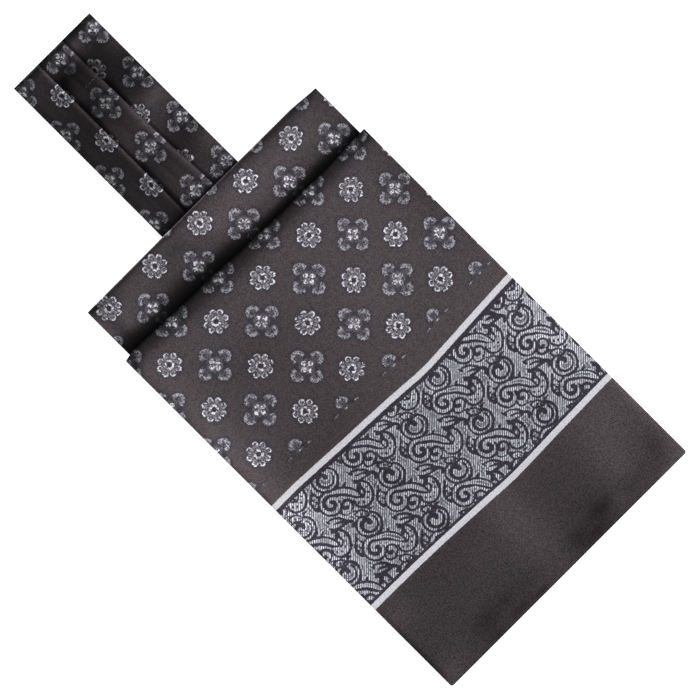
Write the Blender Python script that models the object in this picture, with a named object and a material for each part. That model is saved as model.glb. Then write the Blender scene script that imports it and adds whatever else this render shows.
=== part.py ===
"""A silk cravat, folded and laid flat, as one closed solid for each piece of cloth.

Metres, +Z up. The cravat lies on z = 0, with the origin in the middle of its underside. +Y runs up to
the fold of the neckband, and -Y down to the square end of the blades. From the surface up lie the back
blade, the folded lengths of both blades, the neckband where it goes in between them, and the front
blade. The front blade turns over at its top fold, comes down as a short strip, goes into one soft tuck,
and comes out over the strip as the main panel.
"""

import math
from collections import namedtuple

import bmesh
import bpy

# Outline
BLADE_WIDTH = 0.1605  # main panel, across
STRIP_WIDTH = 0.1543  # the blade at its top fold, where it is a little narrower
STRIP_SHIFT = 0.0004  # the strip's middle lies this far right of the panel's
BLADE_END = -0.17685  # y of the square end
CORNER_RADIUS = 0.0016  # of the square end
STRIP_TOP = 0.0751  # y of the blade's top fold
NOSE_FALL = 0.0011  # the top fold's right corner lies this much lower
TUCK_EDGE = 0.0444  # y of the main panel's rolled top edge, at its middle
TUCK_SLANT = -0.0012  # change of that y from the middle to the right side
BAND_LEFT, BAND_RIGHT = -0.02545, 0.02565  # x of the pleated neckband's sides
BAND_TOP = 0.17685  # y of the neckband's fold
BACK_INSET = 0.0012  # back blade and back half of the neckband, in from the front ones

# Cloth
WALL = 0.0010  # silk with its backing
GAP = 0.0003  # between two pieces that lie on each other
FOLD_RADIUS = 0.00065  # middle of the cloth round a pressed fold
ROLL_RADIUS = 0.0013  # middle of the cloth round the soft roll over the tuck
EDGE_BULGE = 0.35 * WALL  # how far a turned edge stands out at its middle
TURN_STEPS = 6  # segments round a fold

# The upper layers fall away beside the neckband, and less so down the panel
SIDE_DROP = 0.0030
DROP_FROM, DROP_TO = 0.028, 0.078  # x
DROP_NONE, DROP_FULL = -0.085, 0.0  # y

# The front blade from its side, as the middle of its cloth. First its turn-under below the top fold
Section = namedtuple("Section", "y z")
TURN_UNDER = (Section(0.0643, 0.0082), Section(0.0690, 0.0082))
STRIP = (
    Section(0.0700, 0.00955),
    Section(0.0650, 0.00965),
    Section(0.0600, 0.00968),
    Section(0.0550, 0.00955),
    Section(0.0510, 0.00925),
    Section(0.0470, 0.00885),
    Section(0.0410, 0.00860),
)
TUCK_DEEP = Section(0.0345, 0.0085)  # the tuck's hidden fold
TUCK_RETURN = Section(0.0385, 0.00985)
ROLL_LOW = 0.0099  # where the roll begins
PANEL = (
    Section(0.0400, 0.01256),
    Section(0.0365, 0.01230),
    Section(0.0325, 0.01175),
    Section(0.0280, 0.01100),
    Section(0.0220, 0.01030),
    Section(0.0150, 0.00990),
    Section(0.0050, 0.00960),
    Section(-0.0060, 0.00915),
    Section(-0.0180, 0.00830),
    Section(-0.0300, 0.00715),
    Section(-0.0420, 0.00590),
    Section(-0.0540, 0.00465),
    Section(-0.0660, 0.00350),
    Section(-0.0780, 0.00262),
    Section(-0.0900, 0.00210),
    Section(-0.1040, 0.00184),
    Section(-0.1180, 0.00180),
    Section(-0.1300, 0.00180),
    Section(-0.1420, 0.00180),
    Section(-0.1540, 0.00180),
    Section(-0.1650, 0.00180),
    Section(-0.1730, 0.00180),
    Section(-0.1755, 0.00180),
    Section(BLADE_END + EDGE_BULGE, 0.00180),
)

# Soft ridges that stand up from the panel: middle, half sizes and height
Ridge = namedtuple("Ridge", "x y half_width half_length height")
RIDGES = (
    Ridge(0.002, -0.148, 0.017, 0.034, 0.0009),
    Ridge(0.056, -0.146, 0.013, 0.030, 0.0008),
    Ridge(-0.052, -0.158, 0.015, 0.026, 0.0006),
    Ridge(0.030, -0.096, 0.030, 0.016, 0.0005),
    Ridge(-0.045, -0.060, 0.024, 0.020, 0.0004),
)

# The folded lengths of both blades under it: their top, from the neckband's end down
FOLDED_TOP = (
    Section(0.0627, 0.00870),
    Section(0.0560, 0.00866),
    Section(0.0500, 0.00834),
    Section(0.0450, 0.00788),
    Section(0.0400, 0.00776),
    Section(0.0330, 0.00766),
    Section(0.0260, 0.00810),
    Section(0.0180, 0.00860),
    Section(0.0050, 0.00860),
    Section(-0.0060, 0.00815),
    Section(-0.0180, 0.00730),
    Section(-0.0300, 0.00610),
    Section(-0.0380, 0.00520),
    Section(-0.0410, 0.00450),
)
FOLDED_HALF_WIDTH = 0.0745
LAYERS = 5  # edges that show round them
LAYER_BULGE = 0.0009

# The back blade from its side
BACK_FLAT = (-0.150, -0.120, -0.080, -0.040, 0.0, 0.030, 0.050, 0.064)  # y

# The front half of the neckband from its end, as the middle of its cloth. Each run of cloth ends in a
# fold: the left strip, its way back, the middle strip, its way back, and the right strip. wander is
# the share of the second pleat's sideways drift that moves a point.
BandPoint = namedtuple("BandPoint", "x z wander")
BAND_BASE = 0.0018  # lowest run, just above the back half
RUN_PITCH = 0.00125  # height from one run to the next
PLEAT_EDGES = (-0.0092, 0.0080)  # x
PLEAT_DEPTHS = (0.0070, 0.0055)  # how far each way back reaches
LEFT_STRIP = (
    BandPoint(BAND_LEFT + EDGE_BULGE, 0.00180, 0),
    BandPoint(-0.0220, 0.00205, 0),
    BandPoint(-0.0190, 0.00310, 0),
    BandPoint(-0.0165, 0.00425, 0),
    BandPoint(-0.0140, 0.00440, 0),
)
MIDDLE_STRIP = (
    BandPoint(-0.0090, 0.00180, 0),
    BandPoint(-0.0035, 0.00185, 0.3),
    BandPoint(-0.0015, 0.00235, 0.6),
    BandPoint(0.0005, 0.00350, 1),
    BandPoint(0.0022, 0.00425, 1),
    BandPoint(0.0040, 0.00438, 1),
)
RIGHT_STRIP = (
    BandPoint(0.0090, 0.00185, 1),
    BandPoint(0.0140, 0.00225, 0.6),
    BandPoint(0.0200, 0.00220, 0.2),
    BandPoint(BAND_RIGHT - EDGE_BULGE, 0.00180, 0),
)
# Along the neckband: the second pleat's drift, how high the band lies where it passes over the back
# blade's fold, and what is left of its thickness where it rolls over at its top fold
BandStation = namedtuple("BandStation", "y drift lift thickness")
BAND_STATIONS = (
    BandStation(0.0643, 0.0022, 0.00260, 1),
    BandStation(0.0720, 0.0022, 0.00260, 1),
    BandStation(0.0790, 0.0022, 0.00250, 1),
    BandStation(0.0860, 0.0019, 0.00205, 1),
    BandStation(0.0940, 0.0015, 0.00110, 1),
    BandStation(0.1030, 0.0010, 0.00035, 1),
    BandStation(0.1120, 0.0007, 0, 1),
    BandStation(0.1280, 0.0003, 0, 1),
    BandStation(0.1450, 0, 0, 1),
    BandStation(0.1600, -0.0004, 0, 1),
    BandStation(0.1690, -0.0006, 0, 1),
    BandStation(0.1725, -0.0007, 0, 0.99),
    BandStation(0.1745, -0.0007, 0, 0.92),
    BandStation(0.1760, -0.0007, 0, 0.78),
    BandStation(BAND_TOP - EDGE_BULGE, -0.0007, 0, 0.55),
)
BAND_MIDDLE = WALL + GAP / 2  # height between its two halves

HALF_ACROSS = (0.09, 0.18, 0.28, 0.38, 0.48, 0.58, 0.68, 0.78, 0.88, 0.955, 0.988, 1.0)
ACROSS = (*(-share for share in reversed(HALF_ACROSS)), 0.0, *HALF_ACROSS)  # columns of the front blade
BACK_ACROSS = (-1.0, -0.98, -0.75, -0.5, -0.25, 0.0, 0.25, 0.5, 0.75, 0.98, 1.0)
FOLDED_ACROSS = (-1.0, -0.96, -0.85, -0.7, -0.55, -0.4, -0.25, 0.0, 0.25, 0.4, 0.55, 0.7, 0.85, 0.96, 1.0)


def smooth(low, high, value):
    """0 below low, 1 above high, and a soft step between."""
    share = min(1.0, max(0.0, (value - low) / (high - low)))
    return share * share * (3 - 2 * share)


def across(left, right, share):
    """The x at a share from -1, the left side, to 1, the right side."""
    return left + (right - left) * (share + 1) / 2


def turn(place, first, last, side):
    """Points round a half turn of cloth at a place along the path, from height first to height last,
    bulging to side, +1 or -1."""
    angles = [math.pi * step / TURN_STEPS for step in range(TURN_STEPS + 1)]
    bulge = side * abs(last - first) / 2
    middle, reach = (first + last) / 2, (first - last) / 2
    return [(place + bulge * math.sin(a), middle + reach * math.cos(a)) for a in angles]


def offset(path, distance):
    """A path of (place, height) points moved sideways by distance."""
    moved = []
    for index, (place, height) in enumerate(path):
        before, after = path[max(index - 1, 0)], path[min(index + 1, len(path) - 1)]
        run, rise = after[0] - before[0], after[1] - before[1]
        length = math.hypot(run, rise)
        moved.append((place - distance * rise / length, height + distance * run / length))
    return moved


def drop(x, y):
    """How far the upper layers fall at the sides, where no neckband lies under them."""
    return SIDE_DROP * smooth(DROP_FROM, DROP_TO, abs(x)) * smooth(DROP_NONE, DROP_FULL, y)


def ridges(x, y):
    """Height of the soft ridges at a place."""
    height = 0.0
    for ridge in RIDGES:
        reach = ((x - ridge.x) / ridge.half_width) ** 2 + ((y - ridge.y) / ridge.half_length) ** 2
        height += ridge.height * math.exp(-reach)
    return height


def rim_point(grids, row, column, share, out, level):
    """A point on the edge between two grids, a share of the way from one to the other and moved out,
    at the same height if level is true."""
    one, other = (grid[row][column].co for grid in grids)
    rows, columns = len(grids[0]), len(grids[0][0])
    inner_row, inner_column = min(max(row, 1), rows - 2), min(max(column, 1), columns - 2)
    away = one * 0
    for near_row, near_column in ((inner_row, column), (row, inner_column)):
        step = one + other - grids[0][near_row][near_column].co - grids[1][near_row][near_column].co
        if level:
            step.z = 0
        if step.length > 0:
            away += step.normalized()
    return one.lerp(other, share) + away.normalized() * out


def closed_sheet(name, one, other, rim, material, level=False):
    """A closed solid between two grids of points of the same size. rim has (share of the way from one
    to the other, distance out) for each line of points round the edge, moved out level or in line with
    the cloth."""
    mesh = bmesh.new()
    grids = [[[mesh.verts.new(point) for point in row] for row in grid] for grid in (one, other)]
    rows, columns = len(one), len(one[0])
    for first, grid in zip((1, -1), grids):
        for r in range(rows - 1):
            for c in range(columns - 1):
                corners = (grid[r][c], grid[r][c + 1], grid[r + 1][c + 1], grid[r + 1][c])
                mesh.faces.new(corners[::first])
    loop = [(0, c) for c in range(columns - 1)] + [(r, columns - 1) for r in range(rows - 1)]
    loop += [(rows - 1, c) for c in range(columns - 1, 0, -1)] + [(r, 0) for r in range(rows - 1, 0, -1)]
    rings = [[grids[0][r][c] for r, c in loop]]
    for share, out in rim:
        rings.append([mesh.verts.new(rim_point(grids, r, c, share, out, level)) for r, c in loop])
    rings.append([grids[1][r][c] for r, c in loop])
    for ring, next_ring in zip(rings, rings[1:]):
        for k in range(len(loop)):
            after = (k + 1) % len(loop)
            mesh.faces.new((ring[after], ring[k], next_ring[k], next_ring[after]))
    if mesh.calc_volume(signed=True) < 0:
        bmesh.ops.reverse_faces(mesh, faces=mesh.faces)
    data = bpy.data.meshes.new(name)
    mesh.to_mesh(data)
    mesh.free()
    data.shade_smooth()
    data.set_sharp_from_angle(angle=math.radians(50))
    data.materials.append(material)
    piece = bpy.data.objects.new(name, data)
    bpy.context.scene.collection.objects.link(piece)
    return piece


def silk(name, colour, roughness):
    material = bpy.data.materials.new(name)
    material.use_nodes = True
    shader = material.node_tree.nodes["Principled BSDF"]
    shader.inputs["Base Color"].default_value = (*colour, 1.0)
    shader.inputs["Roughness"].default_value = roughness
    shader.inputs["Metallic"].default_value = 0.0
    return material


def blade_sides(wide):
    """The front blade's left and right x, from the strip's, at wide 0, to the panel's, at wide 1."""
    half = (STRIP_WIDTH + (BLADE_WIDTH - STRIP_WIDTH) * wide) / 2 - EDGE_BULGE
    shift = STRIP_SHIFT * (1 - wide)
    return shift - half, shift + half


def front_blade(material):
    """Turn-under, top fold, strip, tuck, roll and panel, in one wall of cloth."""
    nose_low = TURN_UNDER[-1].z
    nose = turn(STRIP_TOP - WALL / 2 - FOLD_RADIUS, nose_low, nose_low + 2 * FOLD_RADIUS, 1)
    deep = turn(TUCK_DEEP.y, TUCK_DEEP.z, TUCK_DEEP.z + 2 * FOLD_RADIUS, -1)
    roll = turn(TUCK_EDGE - WALL / 2 - ROLL_RADIUS, ROLL_LOW, ROLL_LOW + 2 * ROLL_RADIUS, 1)
    path = [*TURN_UNDER, *nose, *STRIP, *deep, TUCK_RETURN, *roll, *PANEL]
    strip_end = len(TURN_UNDER) + len(nose) + len(STRIP) - 1
    panel_start = len(path) - len(PANEL)
    walls = [offset(path, side * WALL / 2) for side in (1, -1)]
    grids = [[], []]
    for row, (middle_y, _) in enumerate(path):
        left, right = blade_sides(smooth(strip_end, panel_start - TURN_STEPS, row))
        slant = (1 - smooth(0.047, 0.062, middle_y)) * smooth(0.004, 0.024, middle_y)
        for grid, wall in zip(grids, walls):
            points = []
            for share in ACROSS:
                x = across(left, right, share)
                y, z = wall[row]
                y += TUCK_SLANT * slant * share
                y -= NOSE_FALL * smooth(0.060, right, x) * smooth(0.066, 0.073, middle_y)
                z -= drop(x, middle_y)
                if row >= panel_start:
                    z += ridges(x, y)
                if row == len(path) - 1:
                    inside = max(0.0, CORNER_RADIUS - (BLADE_WIDTH / 2 - abs(x)))
                    y += CORNER_RADIUS - math.sqrt(CORNER_RADIUS**2 - inside**2)
                points.append((x, y, z))
            grid.append(points)
    return closed_sheet("front_blade", *grids, [(0.5, EDGE_BULGE)], material)


def back_blade(material):
    """Flat on the surface, and turned up at its own top fold."""
    low = WALL / 2
    nose = turn(STRIP_TOP - BACK_INSET - WALL / 2 - FOLD_RADIUS, low, low + 2 * FOLD_RADIUS, 1)
    path = [(BLADE_END + BACK_INSET + EDGE_BULGE, low), *((y, low) for y in BACK_FLAT), *nose]
    path.append((TURN_UNDER[0].y, nose[-1][1]))
    walls = [offset(path, side * WALL / 2) for side in (1, -1)]
    grids = [[], []]
    for row, (middle_y, _) in enumerate(path):
        left, right = blade_sides(1 - smooth(TUCK_DEEP.y, TURN_UNDER[0].y, middle_y))
        for grid, wall in zip(grids, walls):
            y, z = wall[row]
            points = [(across(left + BACK_INSET, right - BACK_INSET, share), y, z) for share in BACK_ACROSS]
            grid.append(points)
    return closed_sheet("back_blade", *grids, [(0.5, EDGE_BULGE)], material)


def folded_lengths(material):
    """What both blades hide, as one rounded solid with the edges of its layers all round."""
    floor = WALL + GAP
    top, bottom = [], []
    for y, z in FOLDED_TOP:
        spots = [share * FOLDED_HALF_WIDTH for share in FOLDED_ACROSS]
        top.append([(x, y, z - drop(x, y)) for x in spots])
        bottom.append([(x, y, floor) for x in spots])
    rim = []
    for layer in range(LAYERS):
        rim += [((layer + 0.25) / LAYERS, LAYER_BULGE), ((layer + 0.75) / LAYERS, LAYER_BULGE)]
        if layer < LAYERS - 1:
            rim.append(((layer + 1) / LAYERS, 0.0))
    return closed_sheet("folded_lengths", top, bottom, rim, material, level=True)


def band_path():
    """The front half of the neckband from its end: three strips, with each pleat's way back."""
    path = list(LEFT_STRIP)
    strips_after = (MIDDLE_STRIP, RIGHT_STRIP)
    for wander, edge, depth, strip in zip((0, 1), PLEAT_EDGES, PLEAT_DEPTHS, strips_after):
        upper = BAND_BASE + 2 * RUN_PITCH
        under_edge = turn(edge - WALL / 2 - RUN_PITCH / 2, upper, upper - RUN_PITCH, 1)
        inside = turn(edge - depth, upper - RUN_PITCH, BAND_BASE, -1)
        path += [BandPoint(x, z, wander) for x, z in under_edge + inside]
        path += strip
    return path


def neckband_front(material):
    """The pleated half that shows."""
    path = band_path()
    walls = [offset([(point.x, point.z) for point in path], side * WALL / 2) for side in (1, -1)]
    grids = [[], []]
    for station in BAND_STATIONS:
        for grid, wall in zip(grids, walls):
            row = []
            for point, (x, z) in zip(path, wall):
                height = BAND_MIDDLE + (z - BAND_MIDDLE) * station.thickness
                row.append((x + station.drift * point.wander, station.y, height + station.lift))
            grid.append(row)
    return closed_sheet("neckband_front", *grids, [(0.5, EDGE_BULGE)], material)


def neckband_back(material):
    """The half that lies under it, joined to it at the top fold."""
    grids = [[], []]
    for station in BAND_STATIONS:
        for grid, z in zip(grids, (WALL, 0.0)):
            height = BAND_MIDDLE + (z - BAND_MIDDLE) * station.thickness + station.lift
            sides = (BAND_LEFT + BACK_INSET, BAND_RIGHT - BACK_INSET)
            grid.append([(across(*sides, share), station.y, height) for share in BACK_ACROSS])
    return closed_sheet("neckband_back", *grids, [(0.5, EDGE_BULGE)], material)


def main():
    for old in list(bpy.data.objects):
        bpy.data.objects.remove(old)
    figured = silk("figured_silk", (0.075, 0.066, 0.070), 0.42)
    plain = silk("silk_backing", (0.030, 0.026, 0.028), 0.55)
    front_blade(figured)
    back_blade(figured)
    neckband_front(figured)
    neckband_back(figured)
    folded_lengths(plain)


main()
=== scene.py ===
"""The looks of a silk cravat that lies folded flat: its cloth, its woven pattern, its sewing, light and
camera. Metres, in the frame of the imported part. The pattern is in millimetres of flat cloth.
"""

import math
from collections import namedtuple
from functools import partialmethod

import bmesh
import bpy
import numpy as np
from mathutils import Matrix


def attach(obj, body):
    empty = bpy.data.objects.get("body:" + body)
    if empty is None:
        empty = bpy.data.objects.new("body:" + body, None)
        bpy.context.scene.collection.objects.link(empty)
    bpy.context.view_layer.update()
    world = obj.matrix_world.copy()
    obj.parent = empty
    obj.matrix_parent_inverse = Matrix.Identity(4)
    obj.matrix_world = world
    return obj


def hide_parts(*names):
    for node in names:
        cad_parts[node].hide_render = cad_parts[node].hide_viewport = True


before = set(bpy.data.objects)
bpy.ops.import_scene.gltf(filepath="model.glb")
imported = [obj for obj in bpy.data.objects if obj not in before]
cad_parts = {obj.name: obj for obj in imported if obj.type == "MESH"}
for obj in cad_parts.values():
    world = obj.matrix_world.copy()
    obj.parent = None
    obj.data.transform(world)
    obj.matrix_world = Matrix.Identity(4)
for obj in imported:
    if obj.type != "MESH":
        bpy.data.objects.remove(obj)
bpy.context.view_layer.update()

MM = 0.001


def table(columns, *rows):
    """Rows of numbers that have their columns' names."""
    row_type = namedtuple("Row", columns)
    return [row_type(*row) for row in rows]


# Cloth
WALL = 1.0 * MM  # silk with its backing
GAP = 0.3 * MM
FOLD_RADIUS = 0.65 * MM
ROLL_RADIUS = 1.3 * MM
EDGE_BULGE = 0.35 * MM
HALF_WALL = WALL / MM / 2  # millimetres

# The front blade, as in the solids
BLADE_WIDTH = 160.7 * MM
STRIP_WIDTH = 154.7 * MM
STRIP_SHIFT = 0.4 * MM
BLADE_END = -177.28 * MM
CORNER_RADIUS = 0.5 * MM  # sharper than the solids'
STRIP_TOP = 75.3 * MM
NOSE_FALL = 1.1 * MM  # of the top fold's right end, between these x and y
FALL_SIDE, FALL_TOP = (60 * MM, 77 * MM), (66 * MM, 73 * MM)
TUCK_EDGE = 44.4 * MM
TUCK_SLANT = -1.2 * MM  # at the blade's side, which lies at this x, in millimetres
TUCK_SIDE = 80
TUCK_ABOVE, TUCK_BELOW = (47 * MM, 62 * MM), (4 * MM, 24 * MM)  # where its lie fades out up and down
# How far the tuck's edge rises above its straight slant at each x, and how far the painted shadow on the
# strip and the painted shade of the roll reach from it, as shares of the usual
TUCK_PLACES = table(
    "x rise above below",  # x and rise in millimetres
    (-81, -0.2, 1.2, 0.8), (-76, 0.9, 1.2, 0.8), (-71, 1.2, 1.16, 0.8), (-66, 1.2, 0.98, 0.8),
    (-60, 1, 0.92, 0.8), (-49, 0.6, 1.02, 0.84), (-37, 0.3, 1.26, 0.92), (-20, 0.1, 1.05, 0.95),
    (-8, -0.4, 1.1, 0.94), (2, -0.6, 0.84, 0.88), (20, -0.9, 0.66, 0.78), (38, -0.8, 0.7, 0.76),
    (52, -0.8, 0.82, 0.78), (64, -0.2, 0.72, 0.78), (81, 0.4, 0.72, 0.82),
)
BACK_INSET = 1.2 * MM
SIDE_DROP = 3.0 * MM  # of the upper layers, from the middle to the sides and up from the border
DROP_SIDES, DROP_ENDS = (28 * MM, 78 * MM), (-85 * MM, 0.0)
SECTION = "y z"  # millimetres, the middle of the cloth
TURN_UNDER = table(SECTION, (64.3, 8.2), (69, 8.2))
STRIP = table(SECTION, (70, 9.55), (65, 9.65), (60, 9.68), (55, 9.55), (51, 9.25), (47, 8.85), (41, 8.6))
TUCK_DEEP, TUCK_RETURN = table(SECTION, (34.5, 8.5), (38.5, 9.85))
ROLL_LOW = 9.9
WIDEN_BEFORE = 6  # millimetres of cloth before the tuck's depth
PANEL = table(
    SECTION,
    (40, 12.56), (36.5, 12.3), (32.5, 11.75), (28, 11), (22, 10.3), (15, 9.9), (5, 9.6), (-6, 9.15),
    (-18, 8.3), (-30, 7.15), (-42, 5.9), (-54, 4.65), (-66, 3.5), (-78, 2.62), (-90, 2.1), (-104, 1.84),
    (-118, 1.8), (-142, 1.8), (-165, 1.8), (-176.93, 1.8),
)
RIDGES = table(
    "x y half_width half_length height",  # millimetres
    (2, -148, 17, 34, 0.9), (56, -146, 13, 30, 0.8), (-52, -158, 15, 26, 0.6), (30, -96, 30, 16, 0.5),
    (-45, -60, 24, 20, 0.4),
)

# The neckband, as in the solids
BAND_LEFT, BAND_RIGHT = -25.61, 26.10  # millimetres, as all of this group
BAND_TOP = 177.3
BAND_NOSE = 173.5  # where its top fold begins to turn
BAND_END = 64.3
BAND_BASE = 1.8
RUN_PITCH = 1.25
PLEAT_EDGES = (-9.1, 7.95)
PLEAT_DEPTHS = (7.0, 5.5)
BAND_MIDDLE = 1.15
BAND_INSET = 1.2  # of the half that lies under
PRESSED_AT, PRESSED_HEIGHT, PRESSED_WIDTH = (-7.5, 9.0), 0.35, 0.45  # the pleats' marks on that half
BAND_POINT = "x z wander"
LEFT_STRIP = table(
    BAND_POINT,
    (-25.26, 1.8, 0), (-22, 2.05, 0), (-19, 3.1, 0), (-16.5, 4.25, 0), (-14, 4.4, 0),
)
MIDDLE_STRIP = table(
    BAND_POINT,
    (-9, 1.8, 0), (-3.5, 1.85, 0.2), (-1.5, 2.35, 0.3), (0.5, 3.5, 0.4), (2.2, 4.25, 0.6), (4, 4.38, 0.8),
)
RIGHT_STRIP = table(
    BAND_POINT,
    (9, 1.85, 1), (12, 2.15, 0.5), (15, 2.28, 0.1), (20, 2.2, 0), (25.75, 1.8, 0),
)
BAND_STATIONS = table(
    "y drift lift",
    (64.3, 2.2, 2.6), (72, 2.2, 2.6), (79, 2.2, 2.5), (86, 1.9, 2.05), (94, 1.5, 1.1), (103, 1, 0.35),
    (112, 0.7, 0), (128, 0.3, 0), (145, 0, 0), (160, -0.4, 0), (169, -0.6, 0), (176.85, -0.7, 0),
)
# Where the pattern lies on each strip: a flower's middle, x and u, the share by which the cloth is
# gathered, and v less y
STRIP_PATTERNS = table(
    "x u gathered rise",
    (-23.9, -51.2, 1.22, -7.6), (1, -20.7, 1.08, -5.1), (22.5, 9.8, 1.05, -4.8),
)
LEFT_SHEAR, SHEAR_SIDE = 0.5, (-22, -13)  # the left strip's pattern lies lower to its right
RIGHT_SLIDE = 1.8  # the right strip's pattern slides under the pleat that drifts over it

# The pattern, in millimetres of flat cloth: u across the blade, and v up it
PITCH_U, PITCH_V = 30.5, 30.4
ROSETTE_AT = (-66.7, 29.3)
FLOWER_AT = (-51.2, 14.1)
FLOWERS_END = -44.0  # v below which no flower is woven
STRIPES = (-55.2, -123.2)
STRIPE_HALF = 1.5
BORDER_TOP, BORDER_END = -58.9, -120.2
HATCH_PITCH = 1.06
STRIP_SQUEEZE, STRIP_OFFSET, STRIP_RISE = 0.9869, 2.277, 20.6  # of the pattern on the strip
# How far the pattern bows down at each x on the panel, by the flowers and by either stripe
BOWS = table(
    "x flowers upper lower",
    (-82, 0, 0, 0), (-65, 0, 0, 0.05), (-50, 0.4, 0.7, 0.25), (-35, 1, 1.5, 0.7), (-20, 1.45, 2.1, 1.4),
    (-5, 2.15, 2.8, 2.1), (6, 2.65, 3.5, 2.8), (14, 3, 4.15, 3.1), (22, 3.3, 4.3, 2.95),
    (40, 2.55, 3.3, 2.4), (55, 1.85, 2.45, 2.05), (70, 0.95, 1.7, 1.75), (82, 0.85, 1.25, 1.6),
)
BOW_PLACES = (20, -58, -124)  # v of the flowers and stripes in that table
# How much more than that over the roll, and by the row of rosettes below it
ROLL_BOWS = ((-50, 1.5), (-25, 0.7), (10, -0.3), (70, -0.15))
ROW_BOWS = ((-67, 0.85), (-36, 0.5), (-6, -0.15), (25, -0.35), (55, -0.85))
ROLL_FROM = (28, 38)  # v between which the first comes in
ROW_AT, ROW_REACH = 27.0, 9.0  # v of the row, and how far from it the second reaches
# How far the pattern lies to the right of its place at each x on the panel
ASIDES = ((-67, 0.0), (-45, 0.25), (-15, 0.48), (8, 0.6), (25, 0.35), (40, 0.28), (55, -0.15), (71, -0.3))
ASIDE_FROM = (-34, -18)  # v between which that comes in
# How far it bows down at each x on the strip, high on it and low
STRIP_BOWS = table(
    "x high low",
    (-75, 0.3, 0.1), (-53, 1.1, 0.3), (-38, 1.8, 0.9), (-23, 2.1, 1.5), (-8, 2.3, 1.9), (7, 3, 2.2),
    (22, 3.7, 2.6), (37, 4.2, 3), (52, 4.7, 3.1), (70, 4.9, 3.1),
)
STRIP_BOW_PLACES = (53, 68)  # y of the columns low and high
STRIP_LOW, LOW_LEFT, LOW_SQUEEZE = (57, 66), 0.49, 0.0057  # below these y it lies a little to the left

BORDER_STEP = 0.5 * MM  # mesh in the border, and elsewhere
PLAIN_STEP = 1.6 * MM
BACK_STEP = 0.8 * MM
BACKING_STEP = 3 * MM
PATH_STEP = 0.05  # millimetres between the points of a path
ROW_BEND = 0.22  # radians that a fold turns between two rows
SILK_WRAP = (20, 40, 60, 85, 110)  # degrees round an edge
BACKING_WRAP = (160, 140, 125, 112)

# Soft creases on the panel: from one end to the other, half width and height, below 0 for a trough
CREASES = table(
    "x0 y0 x1 y1 half_width height",  # millimetres
    (14, -50, 12, -128, 6, 0.3), (12, -128, 6, -172, 7, 0.25), (-30, -166, 44, -168, 2.2, -0.18),
    (44, -168, 78, -164, 2.6, -0.15), (-76, -150, -48, -172, 3.5, -0.15), (-30, 36, -14, 20, 3, 0.12),
    (18, 30, 40, 8, 3.5, 0.14), (-72, 10, -40, -12, 4, 0.12), (30, -20, 66, -44, 4, 0.14),
    (56, -132, 52, -170, 5, 0.22),
)

# Painted light and shade: soft light and dark patches painted into the silk's colour, for its sheen and its
# soft shadows: middle, half sizes, and the light there
PATCH = "x y half_width half_length light"  # millimetres
STRIP_PATCHES = table(
    PATCH,
    (-72, 73, 16, 8, 0.62), (-73, 74.5, 4, 2, 0.4), (-76, 62, 5, 10, 1.25), (-71, 59, 3, 5, 0.75),
    (-66, 60, 3, 5, 1.25), (-47, 54, 5, 4, 0.72), (-37, 56, 6, 4, 0.78), (-20, 61, 5, 3, 0.8),
    (-3, 60, 6, 4, 1.24), (-2, 74, 8, 1.5, 1.35), (-25, 67, 8, 4, 0.62), (-60, 60, 8, 5, 1.2),
    (10, 64, 9, 5, 1.12), (68, 74, 7, 2, 0.66), (-33, 46.5, 8, 2, 0.6), (-14, 46.5, 6, 2, 0.6),
    (7, 46, 4, 2, 1.5), (52, 45.8, 6, 2, 0.65), (70, 45.5, 7, 1.8, 1.9), (30, 61, 34, 7, 1.16),
    (55, 74, 30, 5, 0.6), (76, 64, 8, 14, 0.75),
)
PANEL_PATCHES = table(
    PATCH,
    (-32, -18, 36, 42, 0.78), (-82, -20, 13, 90, 1.65), (-80, 20, 7, 26, 0.7), (-79, 42, 4, 4, 0.62),
    (-80.4, -40, 1.9, 120, 0.56), (80, 10, 13, 28, 0.7), (-34, 6, 26, 10, 0.88), (-34, -44, 30, 14, 0.88),
    (62, -30, 16, 12, 0.9), (30, -17, 14, 10, 1.08), (0, -88, 60, 22, 0.82), (-38, -84, 14, 20, 0.86),
    (-50, -114, 34, 7, 0.82), (48, -115, 34, 7, 0.84), (76, -92, 16, 34, 1.25), (-72, -66, 14, 14, 1.15),
    (-45, -51, 34, 8, 0.84),
)
PLAIN_PATCHES = table(
    PATCH,
    (-2, -140, 12, 34, 1.65), (66, -134, 22, 26, 1.72), (52, -158, 9, 16, 1.35), (-74, -134, 9, 9, 1.4),
    (24, -127, 16, 8, 1.2), (-44, -166, 10, 5, 0.64), (-32, -165.5, 4, 4, 0.76), (-20, -167, 12, 5, 0.84),
    (14, -169, 7, 5, 0.55), (31, -167, 8, 5, 0.42), (26, -158, 12, 5, 0.88), (21, -174.5, 10, 4, 0.55),
    (24, -173, 3, 3, 0.85), (17.5, -173, 2.5, 3, 1.15), (41, -171, 4, 4, 1.25), (56, -168, 9, 4, 0.82),
    (71, -165, 3.5, 6, 0.72), (-48, -172, 6, 6, 0.8), (-46, -175.5, 6, 1.6, 0.72),
    (-26, -142, 10, 11, 1.15), (48, -170, 4, 5, 0.84), (-30, -174, 7, 2.2, 0.58),
    (-17, -175.5, 5, 1.5, 0.6), (-71, -171, 9, 8, 1.25), (-77, -173, 7, 5, 1.25),
    (-80.4, -160, 2.2, 26, 0.28), (-80.4, -176, 3, 4, 1.6), (81, -150, 3.5, 40, 1.8),
    (75, -172, 6, 6, 1.4), (71, -177, 11, 2.5, 1.65),
)
# How light the plain end's silk is painted, before its patches
PLAIN_LIGHT = 0.57
PLAIN_TOP = -126  # y where the panel's plain end begins
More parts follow.
